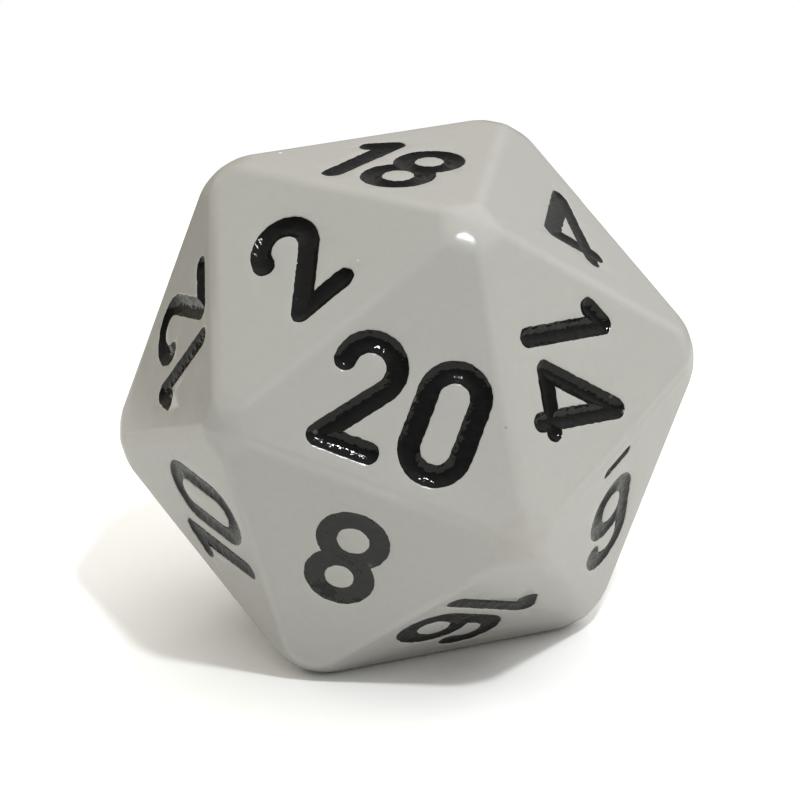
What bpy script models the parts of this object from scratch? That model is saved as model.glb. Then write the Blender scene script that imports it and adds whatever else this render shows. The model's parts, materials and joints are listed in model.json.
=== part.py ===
"""A twenty-sided die: one moulded body, and the enamel that fills its engraved numerals.

The die stands on its 3 with the 18 on top. Z is up, and the origin is the centre of the face
that it stands on. The 20 faces -Y, and two opposite corners lie towards -X and +X.
Every numeral is a groove in the body, and the enamel in each digit is a solid of its own.
"""

import math

import bmesh
import bpy
from mathutils import Matrix, Vector

MM = 0.001

# Driving sizes of the body.
ACROSS_FACES = 20.0 * MM  # between two opposite faces
EDGE_RADIUS = 1.0 * MM  # round of the edges between faces
EDGE_STEPS = 3  # flats that make that round
CORNER_WEAR = 0.5 * MM  # how far a worn corner lies below the sharp one

# Driving sizes of the numerals.
STROKE_WIDTH = 0.82 * MM
BAR_WIDTH = 0.42 * MM  # the line that tells 6 from 9
BAR_LENGTH = 1.9 * MM
BAR_DROP = 1.0 * MM  # bare plastic between that line and its digit
DIGIT_GAP = 0.55 * MM  # bare plastic between two digits of one number
FOOT_MARGIN = 0.85 * MM  # from a two-digit number's foot to the sharp edge below it
SHOULDER_MARGIN = 0.53 * MM  # from its shoulder to the sharp edge beside it
SINGLE_FOOT_MARGIN = 1.5 * MM  # from a lone digit's foot to the sharp edge below it
LIFT = {14: 0.45 * MM, 7: 0.45 * MM}  # numbers cut a little higher on their faces than the rest

# Driving sizes of the grooves and the enamel in them.
GROOVE_DEPTH = 0.50 * MM
ENAMEL_RECESS = 0.10 * MM  # from the face down to the enamel
SEAT_GAP = 0.05 * MM  # kept between the enamel and its groove
CUTTER_RISE = 1.0 * MM  # how far the cutters stand above the face

# The digits' proportions, as shares of a digit's height or of its half width.
DIGIT_SHAPE = 0.58  # width over height
FLAG_REACH = 0.15  # how far the 1's flag goes to the left, over the height
FLAG_DROP = 0.135  # and how far down
LOOP_DIFFERENCE = 0.007  # how much larger the lower loop of 3 and 8 is, and the upper smaller
FOUR_REACH = 0.245  # from the middle of a 4 to either end of its crossbar
FOUR_STEM = 0.155  # from the middle of a 4 to its stem
FOUR_BAR = 0.12  # from a 4's foot to its crossbar
SIX_BOWL_RISE = 0.043  # straight stretch in the sides of the bowl of a 6
THREE_WAIST = 0.3  # length of a 3's middle stroke, over the half width
SEVEN_FOOT = -0.4  # where a 7's leg stands, over the half width
FIVE_BOWL = 1.15  # radius of a 5's bowl, over the half width

# How finely arcs are cut.
ARC_STEP = 20.0
END_STEP = 30.0
SHARP_TURN = 40.0  # a path that turns by more than this gets a rounded corner

PLASTIC = ("warm_grey_plastic", (0.56, 0.54, 0.51, 1.0), 0.38)
ENAMEL = ("black_enamel", (0.012, 0.012, 0.013, 1.0), 0.14)

GOLDEN = (1.0 + math.sqrt(5.0)) / 2.0
FACE_RISE = ACROSS_FACES / 2.0  # from the die's centre to a face
EDGE_LENGTH = FACE_RISE * 2.0 * math.sqrt(3.0) / GOLDEN**2
FACE_INNER = EDGE_LENGTH / (2.0 * math.sqrt(3.0))  # from a face's centre to its sharp edges
CORNER_REACH = math.hypot(FACE_RISE, 2.0 * FACE_INNER)  # from the die's centre to a corner
EDGE_TURN = math.acos(math.sqrt(5.0) / 3.0)  # between two neighbouring faces' normals
CORNER_LEAN = math.asin(EDGE_LENGTH / (2.0 * CORNER_REACH))  # a corner's edge to its tangent plane

# The numbering. Corners are named by ring, from the top: T, U, L and B, three in each. The first
# corner is the one that the number's top points at. An opposite face makes the sum 21, and its
# number points at the opposite corner.
NUMBERED_FACES = {
    20: ("T0", "L0", "U2"),
    18: ("T1", "T2", "T0"),
    16: ("B0", "L0", "B2"),
    14: ("U0", "L0", "T0"),
    12: ("L2", "T2", "U2"),
    10: ("L2", "B2", "U2"),
    8: ("B2", "U2", "L0"),
    6: ("B0", "U0", "L0"),
    4: ("T1", "U0", "T0"),
    2: ("T2", "U2", "T0"),
}
OPPOSITE_SUM = 21
UNDERLINED = (6, 9)


def digit_height():
    """The tallest digit that leaves a two-digit number its margins on a face."""
    slope = math.radians(30.0)
    room = 1.5 * FACE_INNER - SHOULDER_MARGIN - FOOT_MARGIN / 2.0 - DIGIT_GAP / 2.0 * math.cos(slope)
    share = 0.5 + DIGIT_SHAPE * (0.25 + math.cos(slope) / 2.0)
    return room / share


DIGIT_HEIGHT = digit_height()
TOP = DIGIT_HEIGHT - STROKE_WIDTH  # a digit's stroke centres run from 0 to here
HALF = (DIGIT_SHAPE * DIGIT_HEIGHT - STROKE_WIDTH) / 2.0  # and from -HALF to HALF


def clear_scene():
    for obj in list(bpy.data.objects):
        bpy.data.objects.remove(obj, do_unlink=True)


def new_collection(name):
    collection = bpy.data.collections.new(name)
    bpy.context.scene.collection.children.link(collection)
    return collection


def new_material(name, colour, roughness):
    material = bpy.data.materials.new(name)
    material.use_nodes = True
    shader = material.node_tree.nodes["Principled BSDF"]
    shader.inputs["Base Color"].default_value = colour
    shader.inputs["Roughness"].default_value = roughness
    shader.inputs["Metallic"].default_value = 0.0
    return material


# Outlines of strokes, in a digit's own plane: x to its right and y up.


def arc(centre_x, centre_y, radius, start, end):
    """Points along an arc, from one angle to another in degrees."""
    steps = max(1, round(abs(end - start) / ARC_STEP))
    points = []
    for step in range(steps + 1):
        angle = math.radians(start + (end - start) * step / steps)
        points.append(Vector((centre_x + radius * math.cos(angle), centre_y + radius * math.sin(angle))))
    return points


def round_points(centre, radius, start, end):
    """Points of a round corner, clockwise, at whole steps of the angle and at both its ends."""
    angles = [start]
    angle = math.floor(start / END_STEP) * END_STEP
    while angle > end + END_STEP / 10.0:
        if angle < start - END_STEP / 10.0:
            angles.append(angle)
        angle -= END_STEP
    angles.append(end)
    turns = [math.radians(angle) for angle in angles]
    return [centre + radius * Vector((math.cos(turn), math.sin(turn))) for turn in turns]


def heading(start, end):
    return math.degrees(math.atan2(end.y - start.y, end.x - start.x))


def left_side(path, half_width, closed):
    """The line that runs half a stroke to the left of a path."""
    count = len(path)
    points = []
    for index, point in enumerate(path):
        if closed or 0 < index < count - 1:
            before = heading(path[index - 1], point)
            after = heading(point, path[(index + 1) % count])
        elif index == 0:
            before = after = heading(point, path[1])
        else:
            before = after = heading(path[-2], point)
        turn = (after - before + 180.0) % 360.0 - 180.0
        if turn < -SHARP_TURN:
            points += round_points(point, half_width, before + 90.0, before + 90.0 + turn)
        else:
            middle = math.radians(before + 90.0 + turn / 2.0)
            reach = half_width / math.cos(math.radians(turn / 2.0))
            points.append(point + reach * Vector((math.cos(middle), math.sin(middle))))
    return points


def ring(path, half_width):
    """The two outlines of a closed stroke."""
    return [left_side(path, half_width, True), left_side(path[::-1], half_width, True)]


def stroke(path, half_width, round_start=True, round_end=True):
    """The outline of an open stroke, with each end round or cut square."""
    there = left_side(path, half_width, False)
    back = left_side(path[::-1], half_width, False)
    end = heading(path[-2], path[-1]) + 90.0
    start = heading(path[1], path[0]) + 90.0
    far = round_points(path[-1], half_width, end, end - 180.0)[1:-1] if round_end else []
    near = round_points(path[0], half_width, start, start - 180.0)[1:-1] if round_start else []
    return [there + far + back + near]


def circle(centre_y, radius):
    return [arc(0.0, centre_y, radius, 0.0, 360.0)[:-1]]


def turned_over(outlines):
    """The same outlines turned by half a turn about the digit's middle."""
    return [[Vector((-point.x, TOP - point.y)) for point in outline] for outline in outlines]


def loop_radii():
    """Radii of the lower and the upper loop of 3 and 8."""
    quarter = TOP / 4.0
    change = LOOP_DIFFERENCE * DIGIT_HEIGHT
    return quarter + change, quarter - change


def zero(half):
    return [ring(arc(0, TOP - HALF, HALF, 0, 180) + arc(0, HALF, HALF, 180, 360), half)], []


def one(half):
    stem = FLAG_REACH * DIGIT_HEIGHT / 2.0
    flag = Vector((-stem, TOP - FLAG_DROP * DIGIT_HEIGHT))
    return [stroke([flag, Vector((stem, TOP)), Vector((stem, 0))], half)], []


def two(half):
    hook_rise = TOP - HALF
    lean = math.atan2(hook_rise, HALF) - math.asin(HALF / math.hypot(HALF, hook_rise))
    hook = arc(0, hook_rise, HALF, 180, math.degrees(lean) - 90.0)
    return [stroke(hook + [Vector((-HALF, 0)), Vector((HALF, 0))], half)], []


def three(half):
    lower, upper = loop_radii()
    waist = Vector((-THREE_WAIST * HALF, 2.0 * lower))
    top_loop = arc(0, TOP - upper, upper, 150, -90) + [waist]
    low_loop = [waist] + arc(0, lower, lower, 90, -150)
    return [stroke(top_loop, half), stroke(low_loop, half)], []


def four(half):
    stem = FOUR_STEM * DIGIT_HEIGHT
    reach = FOUR_REACH * DIGIT_HEIGHT
    bar = FOUR_BAR * DIGIT_HEIGHT
    crossing = Vector((stem, bar))
    triangle = [crossing, Vector((stem, TOP)), Vector((-reach, bar))]
    foot = stroke([crossing, Vector((stem, 0))], half, round_start=False)
    tail = stroke([crossing, Vector((reach, bar))], half, round_start=False)
    return [ring(triangle, half), foot, tail], []


def five(half):
    radius = FIVE_BOWL * HALF
    bowl = arc(HALF - radius, radius, radius, 135, -150)
    stem = [Vector((HALF * 0.85, TOP)), Vector((bowl[0].x, TOP)), bowl[0]]
    return [stroke(stem, half, round_end=False), stroke(bowl, half)], []


def six(half):
    rise = HALF + SIX_BOWL_RISE * DIGIT_HEIGHT
    hook = arc(0, TOP - HALF, HALF, 5, 180) + [Vector((-HALF, rise))]
    bowl = arc(0, rise, HALF, 0, 180) + arc(0, HALF, HALF, 180, 360)
    return [stroke(hook, half, round_end=False), ring(bowl, half)], []


def seven(half):
    corner = Vector((HALF, TOP))
    return [stroke([Vector((-HALF, TOP)), corner, Vector((SEVEN_FOOT * HALF, 0))], half)], []


def eight(half):
    lower, upper = loop_radii()
    loops = [circle(lower, lower + half), circle(TOP - upper, upper + half)]
    holes = [circle(lower, lower - half), circle(TOP - upper, upper - half)]
    return loops, holes


def nine(half):
    solids, holes = six(half)
    return [turned_over(outlines) for outlines in solids], holes


def underline(half):
    reach = BAR_LENGTH / 2.0 - BAR_WIDTH / 2.0
    shrink = (STROKE_WIDTH - BAR_WIDTH) / 2.0
    return [stroke([Vector((-reach, 0)), Vector((reach, 0))], half - shrink)], []


GLYPHS = {
    "0": zero, "1": one, "2": two, "3": three, "4": four, "5": five,
    "6": six, "7": seven, "8": eight, "9": nine, "bar": underline,
}  # fmt: skip


def prism(name, outlines, low, high, collection):
    """A flat outline, filled and thickened from one height to another, as a mesh object."""
    curve = bpy.data.curves.new(name, "CURVE")
    curve.dimensions = "2D"
    curve.fill_mode = "BOTH"
    curve.extrude = (high - low) / 2.0
    for outline in outlines:
        spline = curve.splines.new("POLY")
        spline.points.add(len(outline) - 1)
        for point, place in zip(spline.points, outline):
            point.co = (place.x, place.y, 0.0, 1.0)
        spline.use_cyclic_u = True
    flat = bpy.data.objects.new(name + "_outline", curve)
    flat.location.z = (high + low) / 2.0
    collection.objects.link(flat)
    solid = bpy.data.objects.new(name, baked_mesh(flat, name))
    collection.objects.link(solid)
    solid.matrix_world = flat.matrix_world.copy()
    bpy.data.objects.remove(flat, do_unlink=True)
    return solid


def baked_mesh(obj, name):
    """The mesh of an object as its modifiers leave it, with its seams closed."""
    bpy.context.view_layer.update()
    graph = bpy.context.evaluated_depsgraph_get()
    mesh = bpy.data.meshes.new_from_object(obj.evaluated_get(graph), depsgraph=graph)
    mesh.name = name
    work = bmesh.new()
    work.from_mesh(mesh)
    bmesh.ops.remove_doubles(work, verts=work.verts, dist=0.000001)
    bmesh.ops.recalc_face_normals(work, faces=work.faces)
    work.to_mesh(mesh)
    work.free()
    return mesh


def glyph_mesh(name, glyph, half_width, low, high, collection):
    """One digit as a solid in its own frame, with the face at z = 0."""
    solids, holes = GLYPHS[glyph](half_width)
    pieces = [
        prism(f"{name}_{index}", outlines, low, high, collection) for index, outlines in enumerate(solids)
    ]
    cuts = [
        prism(f"{name}_hole_{index}", outlines, low - CUTTER_RISE, high + CUTTER_RISE, collection)
        for index, outlines in enumerate(holes)
    ]
    base = pieces[0]
    for other in pieces[1:] + cuts:
        joint = base.modifiers.new(other.name, "BOOLEAN")
        joint.operation = "DIFFERENCE" if other in cuts else "UNION"
        joint.solver = "EXACT"
        joint.object = other
    mesh = baked_mesh(base, name)
    mesh.transform(base.matrix_world)
    for helper in pieces + cuts:
        bpy.data.objects.remove(helper, do_unlink=True)
    return mesh


def corner_places():
    """The twelve sharp corners, from the die's centre, by name."""
    ring_reach = EDGE_LENGTH / math.sqrt(3.0)
    ring_rise = FACE_RISE / GOLDEN**3
    rings = (
        ("T", ring_reach, FACE_RISE, 30.0),
        ("U", ring_reach * GOLDEN, ring_rise, 90.0),
        ("L", ring_reach * GOLDEN, -ring_rise, 30.0),
        ("B", ring_reach, -FACE_RISE, 90.0),
    )
    places = {}
    for name, reach, height, start in rings:
        for index in range(3):
            angle = math.radians(start + 120.0 * index)
            places[f"{name}{index}"] = Vector((reach * math.sin(angle), -reach * math.cos(angle), height))
    return places


def face_frames():
    """For each number, its face's frame: x to the number's right, y to its top and z outwards."""
    corners = corner_places()
    centre = Vector((0, 0, FACE_RISE))
    frames = {}
    for number, names in NUMBERED_FACES.items():
        middle = sum((corners[name] for name in names), Vector()) / 3.0
        upwards = (corners[names[0]] - middle).normalized()
        for sign, shown in ((1.0, number), (-1.0, OPPOSITE_SUM - number)):
            outward = sign * middle.normalized()
            up = sign * upwards
            turn = Matrix((up.cross(outward), up, outward)).transposed().to_4x4()
            frames[shown] = Matrix.Translation(centre + sign * middle) @ turn
    return frames


def make_body(material, collection):
    """The moulded body, with rounded edges and worn corners, before its numerals are cut."""
    mesh = bpy.data.meshes.new("die_body")
    work = bmesh.new()
    bmesh.ops.create_icosphere(work, subdivisions=1, radius=CORNER_REACH)
    work.faces.ensure_lookup_table()
    top = work.faces[0]
    outward = top.calc_center_median().normalized()
    corner = top.verts[0].co - top.calc_center_median()
    towards_x = -corner.normalized()
    turn = Matrix((towards_x, outward.cross(towards_x), outward)).to_4x4()
    bmesh.ops.transform(work, matrix=turn, verts=work.verts)
    work.to_mesh(mesh)
    work.free()
    mesh.materials.append(material)
    body = bpy.data.objects.new("die_body", mesh)
    body.location.z = FACE_RISE
    collection.objects.link(body)

    corners = body.modifiers.new("worn_corners", "BEVEL")
    corners.affect = "VERTICES"
    corners.limit_method = "NONE"
    corners.width = CORNER_WEAR / math.sin(CORNER_LEAN)
    corners.segments = 1
    edges = body.modifiers.new("round_edges", "BEVEL")
    edges.limit_method = "NONE"
    edges.width = EDGE_RADIUS * math.tan(EDGE_TURN / 2.0)
    edges.segments = EDGE_STEPS
    return body


def make_face(name, frame, collection):
    """An empty that holds a face's place, for its digits and their cutters."""
    face = bpy.data.objects.new(name, None)
    face.empty_display_size = FACE_INNER / 2.0
    face.matrix_world = frame
    collection.objects.link(face)
    return face


def number_layout(number, spans):
    """Each digit of a number: its node's name, its glyph and its place on the face."""
    text = str(number)
    single = len(text) == 1
    total = sum(spans[digit][1] - spans[digit][0] for digit in text) + DIGIT_GAP * (len(text) - 1)
    foot = -FACE_INNER + (SINGLE_FOOT_MARGIN if single else FOOT_MARGIN) + LIFT.get(number, 0.0)
    rows = []
    if number in UNDERLINED:
        bar_foot = -FACE_INNER + FOOT_MARGIN
        rows.append((f"numeral_{number}_bar", "bar", 0.0, bar_foot + BAR_WIDTH / 2.0))
        foot = bar_foot + BAR_WIDTH + BAR_DROP
    left = -total / 2.0
    for digit, place in zip(text, ("",) if single else ("_tens", "_units")):
        low, high = spans[digit]
        rows.append((f"numeral_{number}{place}", digit, left - low, foot + STROKE_WIDTH / 2.0))
        left += high - low + DIGIT_GAP
    return rows


def place_on(face, name, mesh, across, up, collection):
    """An object with a digit's mesh, at its place on a face."""
    obj = bpy.data.objects.new(name, mesh)
    collection.objects.link(obj)
    obj.parent = face
    obj.location = (across, up, 0.0)
    return obj


def main():
    clear_scene()
    parts = new_collection("twenty_sided_die")
    cutters = new_collection("groove_cutters")
    plastic = new_material(*PLASTIC)
    enamel = new_material(*ENAMEL)
    body = make_body(plastic, parts)

    half = STROKE_WIDTH / 2.0
    floor = -GROOVE_DEPTH
    fills = {}
    grooves = {}
    spans = {}
    for glyph in GLYPHS:
        fill = glyph_mesh(f"enamel_{glyph}", glyph, half, floor + SEAT_GAP, -ENAMEL_RECESS, parts)
        fill.materials.append(enamel)
        fills[glyph] = fill
        grooves[glyph] = glyph_mesh(f"groove_{glyph}", glyph, half + SEAT_GAP, floor, CUTTER_RISE, parts)
        reach = [vertex.co.x for vertex in fill.vertices]
        spans[glyph] = (min(reach), max(reach))

    for number, frame in sorted(face_frames().items()):
        face = make_face(f"face_{number}", frame, parts)
        for name, glyph, across, up in number_layout(number, spans):
            place_on(face, name, fills[glyph], across, up, parts)
            cutter = place_on(face, f"{name}_groove", grooves[glyph], across, up, cutters)
            cutter.hide_render = True
            cutter.display_type = "WIRE"

    grooving = body.modifiers.new("grooves", "BOOLEAN")
    grooving.operation = "DIFFERENCE"
    grooving.solver = "EXACT"
    grooving.operand_type = "COLLECTION"
    grooving.collection = cutters


main()
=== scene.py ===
"""The looks of a twenty-sided die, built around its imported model.

The die is one moulding of warm grey plastic, and its engraved numerals hold black enamel. All
sizes are in metres, in the row's frame: the die stands at z = 0, and its 20 faces -Y.
"""

import json
import logging
import math
from collections.abc import Iterator
from contextlib import contextmanager
from dataclasses import dataclass, field
from enum import Enum

import bpy
from mathutils import Matrix, Vector, noise

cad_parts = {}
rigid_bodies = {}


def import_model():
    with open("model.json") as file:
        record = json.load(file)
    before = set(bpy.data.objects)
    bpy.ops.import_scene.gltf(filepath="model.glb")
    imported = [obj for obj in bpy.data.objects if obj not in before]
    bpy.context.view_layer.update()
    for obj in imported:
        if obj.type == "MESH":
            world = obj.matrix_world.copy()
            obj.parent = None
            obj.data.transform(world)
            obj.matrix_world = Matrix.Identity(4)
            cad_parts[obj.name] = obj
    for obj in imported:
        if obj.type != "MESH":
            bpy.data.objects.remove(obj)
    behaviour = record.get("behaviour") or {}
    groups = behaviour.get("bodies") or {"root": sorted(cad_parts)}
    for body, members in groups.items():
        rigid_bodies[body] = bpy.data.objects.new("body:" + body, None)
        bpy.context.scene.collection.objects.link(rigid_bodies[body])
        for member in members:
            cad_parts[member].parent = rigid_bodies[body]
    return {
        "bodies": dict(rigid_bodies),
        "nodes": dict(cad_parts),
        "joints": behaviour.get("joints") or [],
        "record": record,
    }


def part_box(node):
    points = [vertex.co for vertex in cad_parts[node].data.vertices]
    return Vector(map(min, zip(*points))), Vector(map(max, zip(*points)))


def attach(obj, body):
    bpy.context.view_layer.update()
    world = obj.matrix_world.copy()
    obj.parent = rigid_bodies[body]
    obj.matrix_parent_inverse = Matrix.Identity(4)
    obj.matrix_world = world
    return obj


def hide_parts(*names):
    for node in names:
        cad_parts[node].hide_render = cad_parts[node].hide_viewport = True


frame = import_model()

MM = 0.001
STROKE = 0.82 * MM
GOLDEN = (1.0 + math.sqrt(5.0)) / 2.0
OPPOSITE_SUM = 21
BODY_NODE = "die_body"

Outline = list[Vector]
log = logging.getLogger("die")


# Modelling by hand.


def pick_only(obj: bpy.types.Object) -> None:
    """Selects one object and makes it active.

    Args:
        obj: The object that the next operators act on.
    """
    bpy.ops.object.select_all(action="DESELECT")
    bpy.context.view_layer.objects.active = obj
    obj.select_set(True)


@contextmanager
def edit_mode(obj: bpy.types.Object) -> Iterator[None]:
    """Edit mode on one object, with nothing of it selected at first.

    Args:
        obj: The mesh object to edit.
    """
    pick_only(obj)
    bpy.ops.object.mode_set(mode="EDIT")
    bpy.ops.mesh.select_mode(type="FACE")
    bpy.ops.mesh.select_all(action="DESELECT")
    yield
    bpy.ops.object.mode_set(mode="OBJECT")


def apply_modifier(obj: bpy.types.Object, kind: str, **settings: object) -> None:
    """Adds a modifier, sets it and applies it.

    Args:
        obj: The object that takes the modifier.
        kind: Blender's name of the modifier type.
        **settings: The modifier's properties.
    """
    pick_only(obj)
    modifier = obj.modifiers.new(kind.lower(), kind)
    for name, value in settings.items():
        setattr(modifier, name, value)
    bpy.ops.object.modifier_apply(modifier=modifier.name)


def remove_all(objects: list[bpy.types.Object]) -> None:
    """Deletes helper objects that the finished pieces don't need."""
    for obj in objects:
        bpy.data.objects.remove(obj, do_unlink=True)


# Where the faces and the numbers are.


@dataclass(frozen=True)
class DieGeometry:
    """The sharp icosahedron that the die is rounded from.

    Attributes:
        across_faces: Distance between two opposite faces.
    """

    across_faces: float

    @property
    def rise(self) -> float:
        """Distance from the die's centre to a face."""
        return self.across_faces / 2.0

    @property
    def edge(self) -> float:
        """Length of a sharp edge."""
        return self.rise * 2.0 * math.sqrt(3.0) / GOLDEN**2

    @property
    def reach(self) -> float:
        """Distance from the die's centre to a sharp corner."""
        return math.hypot(self.rise, self.edge / math.sqrt(3.0))

    @property
    def centre(self) -> Vector:
        """The die's centre in the row's frame."""
        return Vector((0.0, 0.0, self.rise))

    def corners(self) -> dict[str, Vector]:
        """Finds the twelve sharp corners.

        Returns:
            Each corner from the die's centre, by ring from the top (T, U, L, B) and number.
        """
        reach = self.edge / math.sqrt(3.0)
        height = self.rise / GOLDEN**3
        rings = (
            ("T", reach, self.rise, 30.0),
            ("U", reach * GOLDEN, height, 90.0),
            ("L", reach * GOLDEN, -height, 30.0),
            ("B", reach, -self.rise, 90.0),
        )
        places = {}
        for name, radius, level, start in rings:
            for index in range(3):
                turn = math.radians(start + 120.0 * index)
                across, along = radius * math.sin(turn), -radius * math.cos(turn)
                places[f"{name}{index}"] = Vector((across, along, level))
        return places

    def face_frames(self) -> dict[int, Matrix]:
        """Finds each number's face.

        Returns:
            For each number, its face's frame: x to the number's right, y to its top, z outwards.
        """
        corners = self.corners()
        frames = {}
        for number, names in NUMBERED_FACES.items():
            middle = sum((corners[name] for name in names), Vector()) / 3.0
            upwards = (corners[names[0]] - middle).normalized()
            for sign, shown in ((1.0, number), (-1.0, OPPOSITE_SUM - number)):
                outward = sign * middle.normalized()
                up = sign * upwards
                turn = Matrix((up.cross(outward), up, outward)).transposed().to_4x4()
                frames[shown] = Matrix.Translation(self.centre + sign * middle) @ turn
        return frames


# The corner that a number's top points at comes first. Opposite faces make the sum 21.
NUMBERED_FACES = {
    20: ("T0", "L0", "U2"),
    18: ("T1", "T2", "T0"),
    16: ("B0", "L0", "B2"),
    14: ("U0", "L0", "T0"),
    12: ("L2", "T2", "U2"),
    10: ("L2", "B2", "U2"),
    8: ("B2", "U2", "L0"),
    6: ("B0", "U0", "L0"),
    4: ("T1", "U0", "T0"),
    2: ("T2", "U2", "T0"),
}


# The digits, in a face's plane: x to the digit's right and y up.


def arc(centre: tuple[float, float], radius: float, start: float, end: float, step: float = 7.0) -> Outline:
    """Draws an arc.

    Args:
        centre: The arc's centre.
        radius: The arc's radius.
        start: The angle where it starts, in degrees.
        end: The angle where it ends, in degrees.
        step: About how many degrees there are between two points.

    Returns:
        The points along the arc, with both ends.
    """
    count = max(1, round(abs(end - start) / step))
    turns = [math.radians(start + (end - start) * index / count) for index in range(count + 1)]
    return [Vector((centre[0] + radius * math.cos(t), centre[1] + radius * math.sin(t))) for t in turns]


def heading(start: Vector, end: Vector) -> float:
    """The direction from one point to another, in degrees."""
    return math.degrees(math.atan2(end.y - start.y, end.x - start.x))


def stretches(path: Outline, closed: bool, step: float) -> list[int]:
    """Counts the equal parts that each stretch of a path is cut into.

    Args:
        path: The path's points.
        closed: Whether its last point joins its first.
        step: The longest part that is allowed.

    Returns:
        One count for each stretch.
    """
    ends = path[1:] + path[:1] if closed else path[1:]
    return [max(1, math.ceil((there - here).length / step)) for here, there in zip(path, ends)]


def cut_up(path: Outline, counts: list[int], closed: bool) -> Outline:
    """Adds points to the stretches of a path.

    Args:
        path: The path's points.
        counts: How many parts each stretch is cut into.
        closed: Whether its last point joins its first.

    Returns:
        The same path with more points.
    """
    ends = path[1:] + path[:1] if closed else path[1:]
    points = []
    for here, there, count in zip(path, ends, counts):
        points += [here.lerp(there, index / count) for index in range(count)]
    return points if closed else points + [path[-1]]


@dataclass(frozen=True)
class Stroke:
    """The middle line of one stroke of a digit.

    Attributes:
        path: Its points.
        closed: Whether it is a ring.
        thinner: How much less than half a stroke half its width is.
        end_step: Degrees between two points of a round end.
        sharp_turn: A path that turns by more than this, in degrees, gets a round corner.
        inner_share: The most of a neighbouring stretch that an inside corner may take.
    """

    path: Outline
    closed: bool = False
    thinner: float = 0.0
    end_step: float = 12.0
    sharp_turn: float = 40.0
    inner_share: float = 0.97

    def corner(self, centre: Vector, radius: float, start: float, end: float) -> Outline:
        """A round corner about a point, clockwise from one angle to the other."""
        return arc((centre.x, centre.y), radius, start, end, self.end_step)

    def side(self, path: Outline, away: float) -> Outline:
        """Draws the line that runs beside a path.

        Args:
            path: The path.
            away: How far the line is to the path's left, or to its right where it is below 0.

        Returns:
            The points of the line.
        """
        count = len(path)
        points = []
        for index, point in enumerate(path):
            if self.closed or 0 < index < count - 1:
                before = heading(path[index - 1], point)
                after = heading(point, path[(index + 1) % count])
            elif index == 0:
                before = after = heading(point, path[1])
            else:
                before = after = heading(path[-2], point)
            turn = (after - before + 180.0) % 360.0 - 180.0
            if turn < -self.sharp_turn:
                points += self.corner(point, away, before + 90.0, before + 90.0 + turn)
            else:
                middle = math.radians(before + 90.0 + turn / 2.0)
                reach = away / math.cos(math.radians(turn / 2.0))
                if turn > self.sharp_turn:
                    room = min((point - path[index - 1]).length, (path[index + 1] - point).length)
                    reach = min(reach, self.inner_share * room / math.sin(math.radians(turn / 2.0)))
                points.append(point + reach * Vector((math.cos(middle), math.sin(middle))))
        return points

    def outline(self, away: float) -> Outline:
        """Draws the line around an open stroke.

        Args:
            away: How far it is from the middle line.

        Returns:
            The points of the closed outline.
        """
        back = self.path[::-1]
        end = heading(self.path[-2], self.path[-1]) + 90.0
        start = heading(self.path[1], self.path[0]) + 90.0
        far = self.corner(self.path[-1], away, end, end - 180.0)[1:-1]
        near = self.corner(self.path[0], away, start, start - 180.0)[1:-1]
        return self.side(self.path, away) + far + self.side(back, away) + near

    def rows(self, profile: Outline, step: float) -> list[Outline]:
        """Draws the level lines of a stroke with a given half section.

        Args:
            profile: For each level, how far it is from the middle line, as x, and its height, as y.
            step: The longest stretch that may stay without a point.

        Returns:
            The level lines, each with as many points. A ring's go down its left side and back up
            its right side. An open stroke's go all round it.
        """
        if self.closed:
            path = cut_up(self.path, stretches(self.path, True, step), True)
            left = [self.side(path, level.x - self.thinner) for level in profile]
            right = [self.side(path, self.thinner - level.x) for level in reversed(profile)]
            return left + right
        middle = self.outline(profile[-1].x - self.thinner)
        counts = stretches(middle, True, step)
        return [cut_up(self.outline(level.x - self.thinner), counts, True) for level in profile]

    def mirrored(self, top: float) -> "Stroke":
        """The same stroke turned by half a turn about the digit's middle."""
        turned = [Vector((-point.x, top - point.y)) for point in self.path]
        return Stroke(turned, self.closed, self.thinner)


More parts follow.
